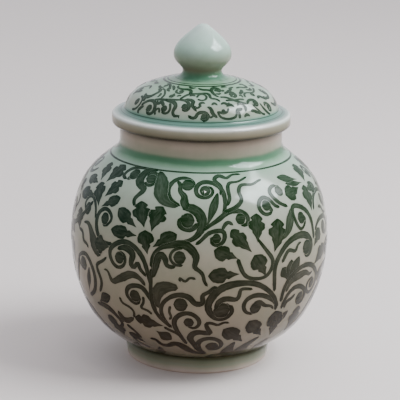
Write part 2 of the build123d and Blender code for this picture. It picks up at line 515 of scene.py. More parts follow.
def radius_at(painting, run):
    """The radius of the pot in mm at a run along its outline."""
    return np.interp(run, painting["along"], painting["outline"][:, 0])


def laid_on(painting, angle, run, lift):
    """The places and the outward directions on the pot for arrays of angle and run."""
    r = radius_at(painting, run)
    z = np.interp(run, painting["along"], painting["outline"][:, 1])
    dr = np.interp(run, painting["along"], painting["slope"][:, 0])
    dz = np.interp(run, painting["along"], painting["slope"][:, 1])
    size = np.hypot(dr, dz)
    out, rise = dz / size, -dr / size
    a = np.radians(angle)
    normal = np.stack([out * np.sin(a), -out * np.cos(a), rise], -1)
    spot = np.stack([r * np.sin(a), -r * np.cos(a), z], -1) * MM
    return spot + normal * lift, normal


def ribbon(painting, cells, steps):
    """A flat strip of faces, as its corners and where each lies: -1 to 1 across, 0 to 1 along."""
    made = bmesh.ops.create_grid(
        painting["mesh"], x_segments=cells, y_segments=steps, size=1.0, calc_uvs=True,
    )["verts"]
    painting["strokes"] += 1
    return made, np.array([v.co.x for v in made]), (np.array([v.co.y for v in made]) + 1) / 2


def press_down(painting, made, angle, run, lift, ink, uv_length, uv_start=0.0):
    """Moves a strip's corners to their angle and run on the pot, lift mm above it, and inks them."""
    spots, normals = laid_on(painting, angle, run, lift * MM)
    for vert, spot in zip(made, spots):
        vert.co = spot
    uv = painting["mesh"].loops.layers.uv.active
    for face in {f for v in made for f in v.link_faces}:
        for loop in face.loops:
            loop[uv].uv = (loop[uv].uv[0], loop[uv].uv[1] * uv_length + uv_start)
    painting["normals"].extend(map(tuple, normals))
    painting["ink"].extend(ink)


def stroke(painting, points, widths, ink=0.95, wobble=0.12, edge_shape=None):
    """One stroke of the brush through the points, as wide in mm as the widths spaced along it."""
    number = painting["strokes"]
    dice = random.Random(number * 7 + 3)

    # The stroke is planned on a flat sheet in mm. One degree is as long on it as it is round
    # the pot at the middle of the stroke.
    around = math.radians(1) * float(np.mean(radius_at(painting, [p[1] for p in points])))
    flat = np.array([(a * around, s) for a, s in points], float)
    length = float(np.sum(np.linalg.norm(np.diff(flat, axis=0), axis=1)))
    widest = float(np.max(widths))
    steps = max(8, min(90, round(length / min(1.1, max(0.45, widest * 0.5)))))
    if edge_shape:
        steps = max(18, round(length / 0.55))
    spine = smooth_line(flat, steps) if len(flat) > 2 else np.linspace(flat[0], flat[1], steps + 1)

    # Half its breadth at each step, a little unsteady, and rounded off at both ends.
    t = np.linspace(0, 1, steps + 1)
    if np.ndim(widths) == 0:
        half = np.full(steps + 1, widths / 2)
    else:
        swelling = np.stack([np.linspace(0, 1, len(widths)) * 10, widths], -1)
        half = 0.5 * np.clip(smooth_line(swelling, steps)[:, 1], 0.05, None)
    half = half * (1 + wobble * np.array([dice.uniform(-1, 1) for _ in t]) * 0.5)
    caps = [max(0.4 * end, 0.1) / length for end in (half[0], half[-1])]
    for cap, away in zip(caps, (t, 1 - t)):
        half = half * np.sqrt(np.clip(1 - (1 - np.clip(away / cap, 0, 1)) ** 2, 0.01, 1))
    left, right = (half * edge_shape(t, 1), half * edge_shape(t, -1)) if edge_shape else (half, half)

    ahead = np.gradient(spine, axis=0)
    ahead /= np.linalg.norm(ahead, axis=1)[:, None] + 1e-9
    side = np.stack([-ahead[:, 1], ahead[:, 0]], -1)
    made, u, v = ribbon(painting, 4 if widest < 1.8 else 8, steps)
    row = np.clip(np.round(v * steps).astype(int), 0, steps)
    offset = side[row] * (np.where(u > 0, left[row], right[row]) * u)[:, None]
    run = np.clip(spine[row, 1] + offset[:, 1], 0, painting["along"][-1])
    degree = math.radians(1) * radius_at(painting, spine[row, 1])
    angle = spine[row, 0] / around + offset[:, 0] / degree
    darker_ends = 0.10 * np.clip(1 - np.minimum(t, 1 - t) / 0.12, 0, 1)
    # Later strokes lie a hair higher, so that strokes which cross don't share a place.
    press_down(painting, made, angle, run, 0.03 + 0.003 * (number % 40), ink + darker_ends[row],
               length / 10, dice.uniform(0, 40))


def bulb(painting, angle, run, radius, ink):
    """A round blob of paint, where a scroll ends."""
    degree = math.radians(1) * float(radius_at(painting, run))
    half = 0.92 * radius / degree
    stroke(painting, [(angle - half, run), (angle + half, run)], radius * 2, ink, 0.05,
           lambda t, side: np.sqrt(np.clip(1 - (2 * t - 1) ** 2, 0.02, 1)))


def scroll(painting, points, widths, end=None, ink=1.0):
    """A curling stem, with a bulb at (angle, run, radius) if end is given.

    A stem that stops near its bulb curls on into it. The brush presses a little harder
    than the widths where a stem is thin.
    """
    given = np.atleast_1d(widths)
    widths = np.interp(np.linspace(0, 1, 9), np.linspace(0, 1, len(given)), given)
    widths = widths * (1 + 0.42 * np.clip(2.3 - widths, 0, 1))
    if end is None:
        stroke(painting, points, widths, ink)
        return
    radius = end[2] * 1.32
    degree = math.radians(1) * float(radius_at(painting, end[1]))
    last, before, core = (np.array(p, float) for p in (points[-1], points[-2], end[:2]))
    if np.hypot((last[0] - core[0]) * degree, last[1] - core[1]) < 2.4 * end[2]:
        stroke(painting, points, widths * (1 + 0.4 * np.sin(np.linspace(0, math.pi, 9))), ink)
        ahead = last + 0.35 * (last - before)
        turning = (ahead + core) / 4 + last / 2
        stroke(painting, [last, turning, core], [widths[-1], radius, radius * 1.5], ink, 0.05)
    else:
        stroke(painting, points, widths, ink)
    bulb(painting, end[0], end[1], radius, ink)


def leaf(painting, base, tip, width, lobes):
    """A leaf pressed out of the full brush: a thin stalk end, full shoulders and a lobed tip."""
    dice = random.Random(int(base[0] * 13 + base[1] * 7))
    lean = {side: (dice.uniform(-0.04, 0.04), dice.uniform(0.9, 1.08)) for side in (1, -1)}
    shoulder, blunt = {1: (0.8, 0.16), 2: (1.0, 0.2), 3: (0.94, 0.3)}[lobes]
    stops = (0, 0.08, 0.2, 0.34, 0.48, 0.62, 0.78, 0.9, 1.0)
    full = (0.04, 0.12, 0.3, 0.66, 1.0, 1.06, shoulder, 0.62 * shoulder, blunt)
    body = smooth_line(np.stack([np.array(stops) * 10, full], -1), 80)

    def lobed(t, side):
        shift, size = lean[side]
        t = np.clip(t + shift * np.sin(math.pi * t), 0, 1)
        notch = (0, 0.1, 0.42)[lobes - 1] * np.exp(-((t - 0.75) / 0.045) ** 2)
        bite = (0, 0.34, 0.2)[lobes - 1] * np.exp(-((t - 0.4) / 0.05) ** 2)
        return np.clip(size * np.interp(t * 10, body[:, 0], body[:, 1]) - notch - bite, 0.04, 1.2)

    sway = dice.uniform(-0.06, 0.06)
    middle = ((base[0] + tip[0]) / 2 + sway * (tip[1] - base[1]), (base[1] + tip[1]) / 2)
    stroke(painting, [base, middle, tip], 1.2 * width, 1.0, 0.03, lobed)


def ring(painting, run, width, ink, ragged):
    """A line painted right round the pot as it turns on the wheel."""
    dice = random.Random(int(run * 10))
    waves = [(dice.uniform(0, 6.28), n, dice.uniform(0.3, 1) / n) for n in (1, 2, 3, 5, 8)]
    made, u, t = ribbon(painting, 4, 180)
    sway = sum(size * np.sin(n * t * math.tau + start) for start, n, size in waves)
    swell = sum(size * np.sin((n + 4) * t * math.tau + start) for start, n, size in waves)
    breadth = width * (1 + 0.5 * ragged * swell)
    where = np.clip(run + ragged * 0.6 * sway + u * breadth / 2, 0, painting["along"][-1])
    press_down(painting, made, t * 360, where, 0.028, [ink] * len(made), 30)


def turned_by(turn, places):
    """The same places, (angle, run) or (angle, run, radius), moved round the pot by the turn in degrees."""
    return [(place[0] + turn, *place[1:]) for place in places]


def finished(painting, name, body):
    """Turns a painting into a piece that rides on the body."""
    mesh = painting["mesh"]
    mesh.verts.index_update()
    data = bpy.data.meshes.new(name)
    for face in mesh.faces:
        face.smooth = True
        face.normal_update()
    outward = np.array(painting["normals"])
    mesh.verts.ensure_lookup_table()
    wrong = [f for f in mesh.faces if f.normal.dot(Vector(outward[f.verts[0].index])) < 0]
    bmesh.ops.reverse_faces(mesh, faces=wrong)
    mesh.to_mesh(data)
    mesh.free()
    ink = data.attributes.new("ink", "FLOAT", "POINT")
    ink.data.foreach_set("value", painting["ink"])
    data.normals_split_custom_set_from_vertices(painting["normals"])
    data.materials.append(painted)
    piece = bpy.data.objects.new(name, data)
    bpy.context.scene.collection.objects.link(piece)
    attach(piece, body)


# ---- painted leaves of the belly -----------------------------------------------------
# Leaves with up to three lobes, each pressed out of the full brush beside a scrolling stem,
# and long blades and flames that swell and taper. The whole spray is painted twice, once
# on the front and once on the back of the jar.
leaves = [
    # stalk end, tip, width, lobes
    ((-56, 103.5), (-52, 116.3), 8.5, 3), ((-51.2, 96.2), (-44.5, 107), 7, 3),
    ((-51, 91), (-40.5, 98), 5, 2), ((-61, 103), (-66.5, 114.5), 6, 3), ((-62, 101.5), (-75, 102), 5, 2),
    ((-53, 90.5), (-60, 102.5), 7, 3), ((-60, 95.5), (-74, 93), 6, 2), ((-66, 75), (-69, 86), 8, 3),
    ((-24.5, 85.5), (-28.5, 98.5), 8, 3), ((-21, 84), (-17, 97), 8, 3),
    ((-28.3, 85), (-39.7, 92.7), 6, 2), ((-27.5, 81), (-41.7, 81.5), 6, 2),
    ((-22, 72.5), (-24, 84.5), 7.5, 2), ((-20, 76.5), (-9.5, 84), 6, 2), ((23, 74.5), (14, 86.5), 6, 3),
    ((25.8, 79), (26.5, 93.5), 7.7, 3), ((33.8, 73), (37, 89.5), 9.3, 3),
    ((16.5, 72), (6.3, 76.5), 6.5, 2), ((17.5, 64), (4, 63.5), 7, 2), ((29.8, 61.5), (24, 73), 8, 2),
    ((58.5, 102), (46, 100), 7, 2), ((64.5, 103.5), (50, 106), 2.8, 1), ((62, 106), (47, 110.5), 4, 1),
    ((62, 88), (64, 102), 8, 3), ((41.5, 57), (38.2, 64.2), 5.2, 1), ((41.5, 57), (43.5, 67.5), 5.2, 1),
    ((41.5, 57), (48.6, 68), 5.2, 1), ((60, 70), (67, 78), 6, 2), ((61, 60), (72, 68), 7, 3),
    ((68, 103), (73, 114), 7, 3), ((64, 99), (76, 99), 5, 2), ((-20.5, 29.5), (-13, 24), 6, 1),
    ((-16, 33.5), (-30.5, 36), 7, 3), ((24.5, 21.5), (12.3, 32.5), 7.5, 2),
    ((34.5, 24.5), (24.5, 36.5), 7, 2), ((41.5, 22.5), (38, 40), 8.5, 2), ((54, 22), (55, 38.5), 8, 3),
    ((-41.5, 72.5), (-51, 72), 8, 3), ((-44, 19), (-45, 28), 7, 2), ((-52, 40), (-43, 46), 5, 1),
    ((-60, 43), (-56, 58), 3, 1), ((-66, 24), (-70, 36), 7, 3), ((-60, 12), (-66, 22), 6, 2),
    ((66, 16), (72, 28), 7, 3), ((72, 34), (78, 46), 7, 2), ((-72, 56), (-78, 68), 7, 3),
    ((2.5, 86), (9, 105.5), 3.5, 1), ((42, 30), (47, 38), 4, 1), ((-30, 17), (-38, 24), 5, 2),
    ((90, 72), (84.5, 78), 5, 2), ((88, 84), (92.5, 94), 5.5, 3), ((89, 94), (96, 101), 6, 2),
    ((89, 98), (82, 92.5), 5, 2), ((90, 104), (86.5, 115.5), 6, 3), ((92, 24), (85.5, 31), 5.5, 2),
    ((88, 40), (93, 43), 4, 1), ((88, 50), (83, 53), 4.5, 1), ((91, 60), (86, 69.5), 5.5, 3),
    ((108, 71), (101, 76), 5, 2), ((104, 92), (99, 99), 5, 2), ((76, 70), (72, 62), 4, 1),
    ((100, 34), (106, 42), 5, 2), ((74, 46), (70, 54), 5, 2),
]
blades = [
    # points from end to end, widths
    ([(24, 1), (19, 9), (18.5, 16), (20, 22)], (2, 7.5, 6.5, 1.4)),
    ([(37, 1), (28, 9), (28.5, 17), (34, 23.5)], (2, 7.5, 6, 1.4)),
    ([(56, 2), (43, 8), (39.5, 14), (43, 20)], (2, 6.5, 5.5, 1.4)),
    ([(-10, 97.6), (-15, 98.8), (-19.5, 103.5), (-21, 110), (-25, 116.6)], (1.5, 4.4, 7.4, 7.6, 2)),
    ([(-45, 60), (-43, 60), (-40, 55), (-37, 56.5), (-34, 58.5), (-29, 61), (-25, 59), (-23, 56)],
     (1, 2, 4, 4.6, 3.4, 1.4)),
    ([(-17.5, 44.5), (-18, 50), (-16.5, 55), (-12.5, 57), (-8.5, 56.6)], (1.4, 5, 7.4, 6, 3)),
    ([(-47, 66.5), (-51, 71), (-54.5, 77), (-58, 80.5), (-62, 80)], (4, 7, 5, 2.4, 1)),
    ([(38.5, 79), (41, 81), (44, 86.5), (46.5, 92), (49, 94)], (1.4, 4, 5.4, 3.4, 1)),
    ([(42, 50), (43.5, 54), (46, 56.5), (50, 57.5), (55, 57.5), (58, 56), (60, 57)],
     (1.4, 3, 4.8, 4.2, 2.4, 1.2)),
    ([(-40, 38), (-37, 33), (-31, 36)], (2, 4, 1.5)), ([(-51, 2), (-42, 9), (-38, 14)], (1.5, 5, 1)),
    ([(-30, 1), (-24, 8), (-22, 15)], (1.5, 5, 1)), ([(62, 1), (68, 10), (66, 17)], (1.5, 5, 1)),
    ([(-66, 1), (-60, 9), (-62, 14)], (1.5, 4, 1)), ([(6, 1), (12, 6), (20, 9)], (1, 4, 1)),
    ([(86, 1), (79, 6), (78, 13)], (2, 6, 1.2)), ([(97, 1), (104, 8), (102, 16)], (2, 6, 1.2)),
    ([(72, 2), (77, 9), (73, 18)], (2, 5, 1.2)), ([(110, 2), (114, 8), (112, 14)], (2, 5, 1.2)),
]
painted_leaves = painting_on(belly)
for turn in (0, 180):
    for base, tip, width, lobes in leaves:
        leaf(painted_leaves, *turned_by(turn, [base, tip]), width, lobes)
    for points, widths in blades:
        stroke(painted_leaves, turned_by(turn, points), widths)
finished(painted_leaves, "painted_leaves", "jar")

# ---- painted scrolls of the belly ----------------------------------------------------
# Thin stems that curl into spirals, many of them round a bulb, with flame-shaped tendrils
# between them. A tall stem rises at each side, where the front and back sprays meet. A
# line runs round the shoulder and another round the foot.
scrolls = [
    # points from end to end, widths, and the bulb if it has one
    ([(-53, 84), (-55, 90), (-62, 94), (-65, 90), (-62, 85.5)], 1.1, (-61, 87.5, 2.6)),
    ([(-40, 74.5), (-44, 74), (-48, 75.5), (-51, 80), (-51.5, 87), (-47, 90.7), (-42.5, 87), (-45.5, 82)],
     (1.4, 1.6, 1.2, 1), (-46.5, 86, 2.4)),
    ([(-34, 117), (-42, 116.3), (-46, 113.5), (-46.5, 110), (-43, 108.5)], 1.2, (-39.8, 112.3, 2.6)),
    ([(-26, 116.8), (-31, 116.8), (-34.5, 112), (-33, 107.5), (-29.5, 104.6), (-31.4, 101), (-32.5, 98.5),
      (-31, 95)], (1.4, 4, 5.4, 4.6, 3, 1.8, 1.1)),
    ([(-31, 109), (-27.5, 107.6), (-24.8, 110), (-25.4, 114), (-29, 114.8), (-31, 112)],
     (1.6, 1.2), (-28, 111.3, 2.2)),
    ([(-20.5, 57), (-22, 64), (-24, 70), (-28, 75), (-33, 77), (-38, 75), (-41, 71), (-40, 66),
      (-36.5, 63.3), (-33, 66), (-33.5, 70.5), (-36, 71.5)], (1.5, 1.7, 1.5, 1.2, 1), (-35.8, 68.3, 2.4)),
    ([(-37, 72.5), (-33, 74), (-29, 71), (-29.5, 66), (-28.5, 65), (-26.5, 67.5), (-25.5, 65), (-24, 63),
      (-22.5, 61)], (1.6, 4, 3.6, 2.4, 1.6, 1)),
    ([(-19, 42), (-20, 47), (-22.5, 52), (-25, 55), (-28, 55.3), (-31.5, 53.5), (-32.7, 50), (-31, 46.5),
      (-28.5, 45), (-26, 47)], (1.6, 1.5, 1.3, 1), (-28.5, 49.5, 2.6)),
    ([(-24.5, 50), (-25, 45.5), (-26, 43.5), (-23, 42), (-21, 40)], 1.1),
    ([(-31, 36), (-30.5, 40), (-33, 42.5), (-36, 44), (-37, 47)], 1.1),
    ([(-6, 22), (-8, 27), (-10, 32), (-10.7, 37), (-8.5, 41), (-4.5, 42.7), (-0.5, 40.5), (0.7, 36),
      (-1.5, 33.5), (-5, 35)], (1.5, 1.6, 1.4, 1), (-4, 37, 2.2)),
    ([(5.5, 9), (2, 14), (0.5, 19), (1.5, 24), (5.5, 26), (11, 24), (13, 19.5), (11, 15.5), (7.5, 14.5)],
     (2.2, 2, 1.5, 1.1), (8, 19, 2.8)),
    ([(5, 9), (1.5, 13.5), (-0.5, 18), (-2, 22), (-3.5, 26), (-2, 29.5), (2, 30.5), (6, 30), (4.5, 34),
      (4.3, 36.5), (7, 36.5), (9.5, 35.5), (12, 36.8), (15, 36.3)], (1.4, 2.4, 3, 3.8, 3.6, 2, 1.2, 1)),
    ([(6, 9), (1, 10), (-3, 12.5), (-6, 16), (-9, 19.5), (-12, 20.5), (-16, 18), (-20, 18.5), (-22, 22),
      (-25.5, 22.5)], (1.8, 3.4, 4.8, 5.2, 4, 3, 2.2, 1.2)),
    ([(-5.5, 21), (-7.5, 26), (-10.5, 29.5), (-14, 31.5), (-16, 33)], 1.3),
    ([(-12.5, 33), (-16, 40), (-16, 46), (-13, 50.5), (-8, 53), (-3, 51), (-1, 48.5), (2, 49), (2, 53),
      (4.5, 55), (6, 56.8), (8, 58)], (1.4, 1.8, 2, 2.4, 3.2, 3.4, 2, 1.2), (-7.5, 47.5, 3)),
    ([(-12, 46.5), (-12.5, 42), (-12, 40), (-13, 38)], 1.0),
    ([(-7.5, 60), (-7.8, 62), (-5.5, 60.5), (-4, 62), (-1, 61.8)], 1.0),
    ([(-12, 33), (-19, 42), (-20.5, 50), (-20.5, 57), (-20, 66)], (1.7, 1.9, 1.6)),
    ([(-20, 66), (-19.5, 72), (-17, 76), (-12, 78.3), (-6, 79), (-2.5, 76), (-1, 72), (-1.5, 68),
      (0.5, 66), (2, 63.5), (2.5, 61), (4, 58)],
     (1.6, 1.6, 1.8, 2.8, 4.6, 4.2, 2.4, 1.4, 1), (-8, 72.5, 2.6)),
    ([(-6.5, 77.5), (-10.5, 76), (-12, 72.5), (-10, 69), (-6.5, 68.8)], 1.1),
    ([(-19.5, 61), (-18, 68), (-16, 73), (-14, 71), (-13.5, 68.5), (-11, 67.5), (-9.5, 68)],
     (1.4, 3.6, 4.4, 2.6, 1.1)),
    ([(-7.5, 80.3), (-3, 81.8), (0, 85), (1.2, 89.5), (0, 94.2), (-3.6, 97), (-8.5, 97.8)],
     (1.3, 1.8, 3.4, 5, 5.6, 5.4, 3)),
    ([(-0.4, 90), (-2.6, 87.2), (-6, 86.8), (-8.8, 89), (-8.4, 92.4)], (2.4, 1.8, 1.4), (-5.2, 91, 2.9)),
    ([(-5.5, 97), (-7.4, 100.5), (-7.6, 103), (-10, 106), (-10.4, 109), (-12.8, 112)],
     (4.4, 4.6, 3.4, 2.6, 2, 1.1)),
    ([(-9, 98), (-13.5, 100.5), (-16, 104.5), (-16, 109), (-12.5, 113), (-8, 113.8), (-4, 112),
      (-2.7, 109.5)], (1.4, 1.4, 1.2, 1), (-6.5, 109.8, 2.7)),
    ([(10.5, 93), (12, 99), (12, 104), (10, 109), (7, 111), (3, 111.8), (-0.5, 110.5), (-2, 107.5),
      (-1, 104), (2, 102.8), (5.5, 104), (6.5, 107), (4.5, 109.3)],
     (1.2, 1.5, 1.4, 1.2, 1), (2.6, 106.6, 2.3)),
    ([(-1.5, 79.2), (1, 81.5), (4, 84.8), (7.5, 86), (10.5, 85.5), (11, 83), (9.5, 79.8), (6.5, 79.3),
      (4.7, 81.5)], 1.2, (7.5, 82.3, 1.9)),
    ([(10, 86.5), (11, 88.5), (12.5, 90), (15, 88.5)], (1, 1.8, 0.9)),
    ([(1.5, 86), (5, 89), (9, 92), (12, 94.5), (16, 95.7), (20, 94.5), (22, 92), (21, 88.5), (18, 89)],
     (1, 1.6, 1.6, 1.1), (18.5, 91.5, 2.2)),
    ([(11, 95.3), (15, 96.5), (18.5, 98.5), (20.5, 101.5), (20, 105), (22, 109), (28, 109), (33, 110.5),
      (36, 111.3)], (1.4, 2, 1.6, 1.2, 0.9)),
    ([(12.5, 98), (14.5, 102), (14.5, 107), (16, 110.8), (20, 111.3), (24, 112.5), (27.5, 114)],
     (1.2, 1.8, 1, 0.8)),
    ([(10, 104), (10.5, 110), (8, 113.5), (11, 115.5), (15, 114), (18, 115.5), (21, 116), (24.5, 115.8)],
     (1, 1.8, 2.2, 1, 0.8)),
    ([(16.5, 72), (18, 67), (20.5, 62.5), (25, 60.7), (30, 61.5), (32.5, 65), (33, 69), (31, 73),
      (28, 77.5), (25.7, 81)], (2.4, 2, 1.4, 1.6, 2.6, 1.6, 1)),
    ([(35.2, 52), (34.3, 60), (34.5, 66), (37, 71.5), (41, 76), (47, 78.5), (52, 78.3), (56.5, 75),
      (57.5, 71), (55, 67.3), (52, 68.5)], (1.6, 1.6, 1.8, 2.6, 3.4, 2.4), (54, 71.4, 3)),
    ([(38, 66.8), (40, 70.5), (42, 72.5), (46, 71.5), (47.5, 74), (50, 75)], (1.4, 2, 1.4, 0.9)),
    ([(45, 94.3), (41, 96.5), (38, 100), (37, 103.5), (39.5, 106), (43, 106.3)], 1.2, (43, 103, 2.2)),
    ([(40, 94.8), (37.5, 96), (35.5, 99), (32, 101), (28.5, 97), (31, 92.5), (35, 93)],
     1.2, (32.5, 96.8, 2.2)),
    ([(60, 74), (60, 80), (59, 86), (56, 90.5), (52, 93), (48, 93.5), (47.5, 87), (51, 81.5), (55, 85)],
     (1.4, 1.6, 1.3, 1), (52, 87, 2.4)),
    ([(40, 45), (40.5, 52), (42, 56), (46, 60), (52, 62), (58, 61), (63, 57), (66, 52), (65.5, 47),
      (62, 44.5), (58, 47), (57.5, 51), (60, 53.5)], (1.8, 1.7, 1.5, 1.3, 1), (61.5, 50, 2.2)),
    ([(41.5, 40.5), (42.5, 46), (45, 50), (49, 51.5), (54, 49.5), (57, 45.5), (56.5, 41.5), (53.5, 39.8)],
     (1.5, 1.6, 1.4, 1.1), (53, 44, 2.7)),
    ([(43.5, 40), (44.5, 44.5), (46, 45), (49, 47.5)], (1, 2.5, 1)),
    ([(38, 40.5), (37, 45), (33.5, 48.5), (29, 51), (24.5, 51.3), (21, 48.5), (20.7, 45), (22.5, 42),
      (26, 40.8)], (1.6, 1.6, 1.4, 1.1), (26.5, 44.2, 2.7)),
    ([(25, 47), (28, 47.5), (31, 45), (35, 43.5), (36.5, 41.5)], (1, 2.5, 1.2, 0.9)),
    ([(38.5, 42), (36, 48), (32, 53), (26, 57.5), (20, 59), (14, 58.5), (9, 56), (6, 52), (4.5, 47),
      (5.5, 43), (9, 39.5), (13, 40), (15.3, 43.5), (14, 47.5)],
     (1.8, 1.9, 2, 3, 3.2, 2.4, 1.8), (10.5, 44.4, 3.5)),
    ([(8, 45), (8.5, 48.5), (10.5, 50.5), (14, 50.8), (17, 50.5), (18, 53), (18.5, 55.5), (21, 55.8),
      (24, 55.2)], (1.6, 3.4, 3, 2, 1.4, 1)),
    ([(62, 78), (66, 81.5), (72, 82.5), (78, 80), (79, 76), (75, 73)], 1.3, (72.5, 77, 2.8)),
    ([(64, 88), (68, 94), (74, 96), (80, 95), (84, 90), (80, 86)], 1.2, (78, 90.5, 2.4)),
    ([(-60, 41), (-54, 46), (-52, 54), (-54, 60), (-58, 64), (-63, 63), (-66, 60), (-64, 56)],
     (1.6, 1.6, 1.4, 1), (-61, 58.5, 2.9)),
    ([(-50, 46), (-47.5, 54), (-49.5, 61), (-46, 64), (-43, 67)], (1, 2.5, 1.6, 0.9)),
    ([(-55, 38), (-48, 37.5), (-42, 34), (-40, 29.5), (-43, 26)], (1.5, 1.6, 1.2), (-47, 29.5, 2.8)),
    ([(-52, 39.5), (-45, 38), (-41, 33.5), (-38, 31)], (1, 1.8, 0.9)),
    ([(-37, 30), (-34, 27), (-32, 24), (-31, 21)], (1.6, 1.2)),
    ([(-37, 20), (-35, 15), (-32, 13), (-31, 10)], (1.6, 1.2)),
    ([(-66, 75.5), (-62, 74.5), (-60.5, 71), (-57, 69.5), (-56, 68)], (1.2, 1.6, 0.9)),
    ([(54, 22), (60, 26), (66, 34), (70, 42), (78, 48), (84, 46), (85, 41), (80, 38)],
     (1.7, 1.6, 1.4, 1.1), (79, 43, 2.6)),
    ([(-56, 16), (-60, 24), (-64, 30), (-72, 33), (-78, 30), (-78, 25), (-73, 23)],
     (1.6, 1.6, 1.2), (-73, 28, 2.6)),
    ([(66, 52), (72, 56), (79, 56), (84, 60), (84, 66), (79, 69), (75, 66)],
     (1.5, 1.5, 1.1), (79, 63, 2.5)),
    ([(-66, 60), (-72, 48), (-78, 44), (-84, 46), (-86, 52), (-82, 56), (-78, 53)],
     (1.5, 1.5, 1.1), (-81, 50, 2.5)),
    ([(-58, 92), (-68, 80), (-76, 76), (-84, 78), (-86, 84), (-80, 87), (-76, 83)],
     (1.4, 1.5, 1.1), (-80, 81.5, 2.5)),
    ([(-74, 108), (-80, 104), (-86, 106), (-88, 111), (-82, 113)], (1.2, 1.2, 1), (-82.5, 109, 2)),
    ([(91, 2), (94, 14), (91, 28), (87, 38), (88, 52), (92, 64), (91, 76), (88, 88), (89, 100), (92, 108)],
     (2.6, 2.2, 2, 1.7, 1.4, 1)),
    ([(91, 28), (96, 33), (101, 31), (102, 25), (98, 22.5)], (1.7, 1.6, 1.2), (98, 27, 2.4)),
    ([(94, 14), (88, 19), (83.5, 17.5), (82.5, 12), (86, 10)], (1.7, 1.6, 1.2), (86.4, 14, 2.2)),
    ([(91, 66), (94, 71.5), (98.5, 71.5), (100, 67), (97, 64.5)], 1.2, (96, 68, 1.9)),
    ([(80, 97), (84, 101), (83.5, 107), (79.5, 110), (77, 107)], 1.2, (80, 105, 2)),
    ([(99, 34), (103, 37), (107, 36), (110, 40)], (1.2, 1.6, 0.9)),
    ([(92, 46), (90, 43), (93, 38), (98, 39.5), (98.5, 43)], 1.1),
    ([(70, 88), (74, 87), (76, 84), (80, 83.5)], (1.2, 1.6, 0.9)),
    ([(103, 84), (106, 88), (104, 92)], (1.2, 1.4, 0.9)),
    ([(80, 28), (83, 33), (88, 35)], (1.2, 1.6, 0.9)), ([(76, 31), (74, 36), (77, 40)], (1.2, 1.6, 0.9)),
]
painted_scrolls = painting_on(belly)
for turn in (0, 180):
    for points, widths, *ends in scrolls:
        scroll(painted_scrolls, turned_by(turn, points), widths, *turned_by(turn, ends))
ring(painted_scrolls, 117.4, 1.1, 1.0, 0.14)
ring(painted_scrolls, 0.75, 1.4, 1.0, 0.12)
finished(painted_scrolls, "painted_scrolls", "jar")

